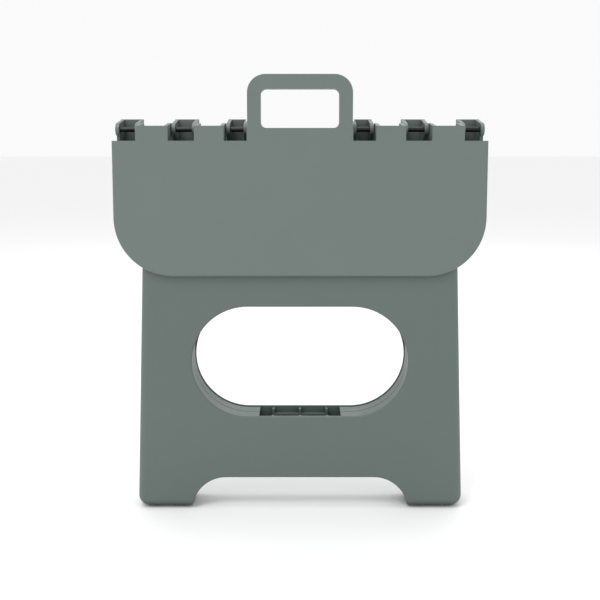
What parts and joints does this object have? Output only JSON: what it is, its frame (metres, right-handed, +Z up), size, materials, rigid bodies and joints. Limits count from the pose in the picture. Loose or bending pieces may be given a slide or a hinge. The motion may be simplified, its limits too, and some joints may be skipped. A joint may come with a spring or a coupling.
{
  "type": "folding step stool",
  "caption": "Folding plastic step stool with a split seat, a loop carrying handle, two leg panels with oval carrying holes and a folding spreader.",
  "frame": {"origin": "middle of the footprint on the floor, with the stool folded", "axes": "+Z up, +X across the width, -Y towards the face that carries the handle"},
  "size_m": [0.29, 0.04, 0.3468],
  "materials": {
    "seat_plastic": "satin moulded plastic, sage grey",
    "leg_plastic": "satin moulded plastic, sage grey",
    "spreader_plastic": "satin moulded plastic, sage grey",
    "pin_steel": "blackened steel rod",
    "pad_rubber": "matt rubber"
  },
  "bodies": {
    "leg_front": {"leg_front": "leg_plastic", "foot_pad_front_left": "pad_rubber", "foot_pad_front_right": "pad_rubber", "spreader_pin_front_left": "pin_steel", "spreader_pin_front_right": "pin_steel"},
    "seat_front": {"seat_front": "seat_plastic", "seat_hinge_pin_left": "pin_steel", "seat_hinge_pin_right": "pin_steel", "leg_pin_front_left": "pin_steel", "leg_pin_front_right": "pin_steel"},
    "seat_back": {"seat_back": "seat_plastic", "leg_pin_back_left": "pin_steel", "leg_pin_back_right": "pin_steel"},
    "leg_back": {"leg_back": "leg_plastic", "foot_pad_back_left": "pad_rubber", "foot_pad_back_right": "pad_rubber", "spreader_pin_back_left": "pin_steel", "spreader_pin_back_right": "pin_steel"},
    "spreader_front": {"spreader_front": "spreader_plastic", "spreader_hinge_pin_left": "pin_steel", "spreader_hinge_pin_right": "pin_steel"},
    "spreader_back": {"spreader_back": "spreader_plastic"}
  },
  "joints": [
    {"name": "open_stool", "type": "hinge", "parent": "leg_front", "child": "seat_front", "pos_m": [0, -0.009, 0.208], "axis": [-1, 0, 0], "range_deg": [0, 90]},
    {"name": "seat_hinge", "type": "hinge", "parent": "seat_front", "child": "seat_back", "pos_m": [0, 0, 0.3053], "axis": [1, 0, 0], "range_deg": [0, 180]},
    {"name": "back_leg_pivot", "type": "hinge", "parent": "seat_back", "child": "leg_back", "pos_m": [0, 0.009, 0.208], "axis": [-1, 0, 0], "range_deg": [0, 90]},
    {"name": "front_spreader_pivot", "type": "hinge", "parent": "leg_front", "child": "spreader_front", "pos_m": [0, -0.009, 0.056], "axis": [-1, 0, 0], "range_deg": [0, 90]},
    {"name": "spreader_hinge", "type": "hinge", "parent": "spreader_front", "child": "spreader_back", "pos_m": [0, 0, 0.1533], "axis": [1, 0, 0], "range_deg": [0, 180]}
  ],
  "couplings": [
    {"joint": "seat_hinge", "follows": "open_stool", "ratio": 2},
    {"joint": "back_leg_pivot", "follows": "open_stool", "ratio": 1},
    {"joint": "front_spreader_pivot", "follows": "open_stool", "ratio": 1},
    {"joint": "spreader_hinge", "follows": "open_stool", "ratio": 2}
  ]
}
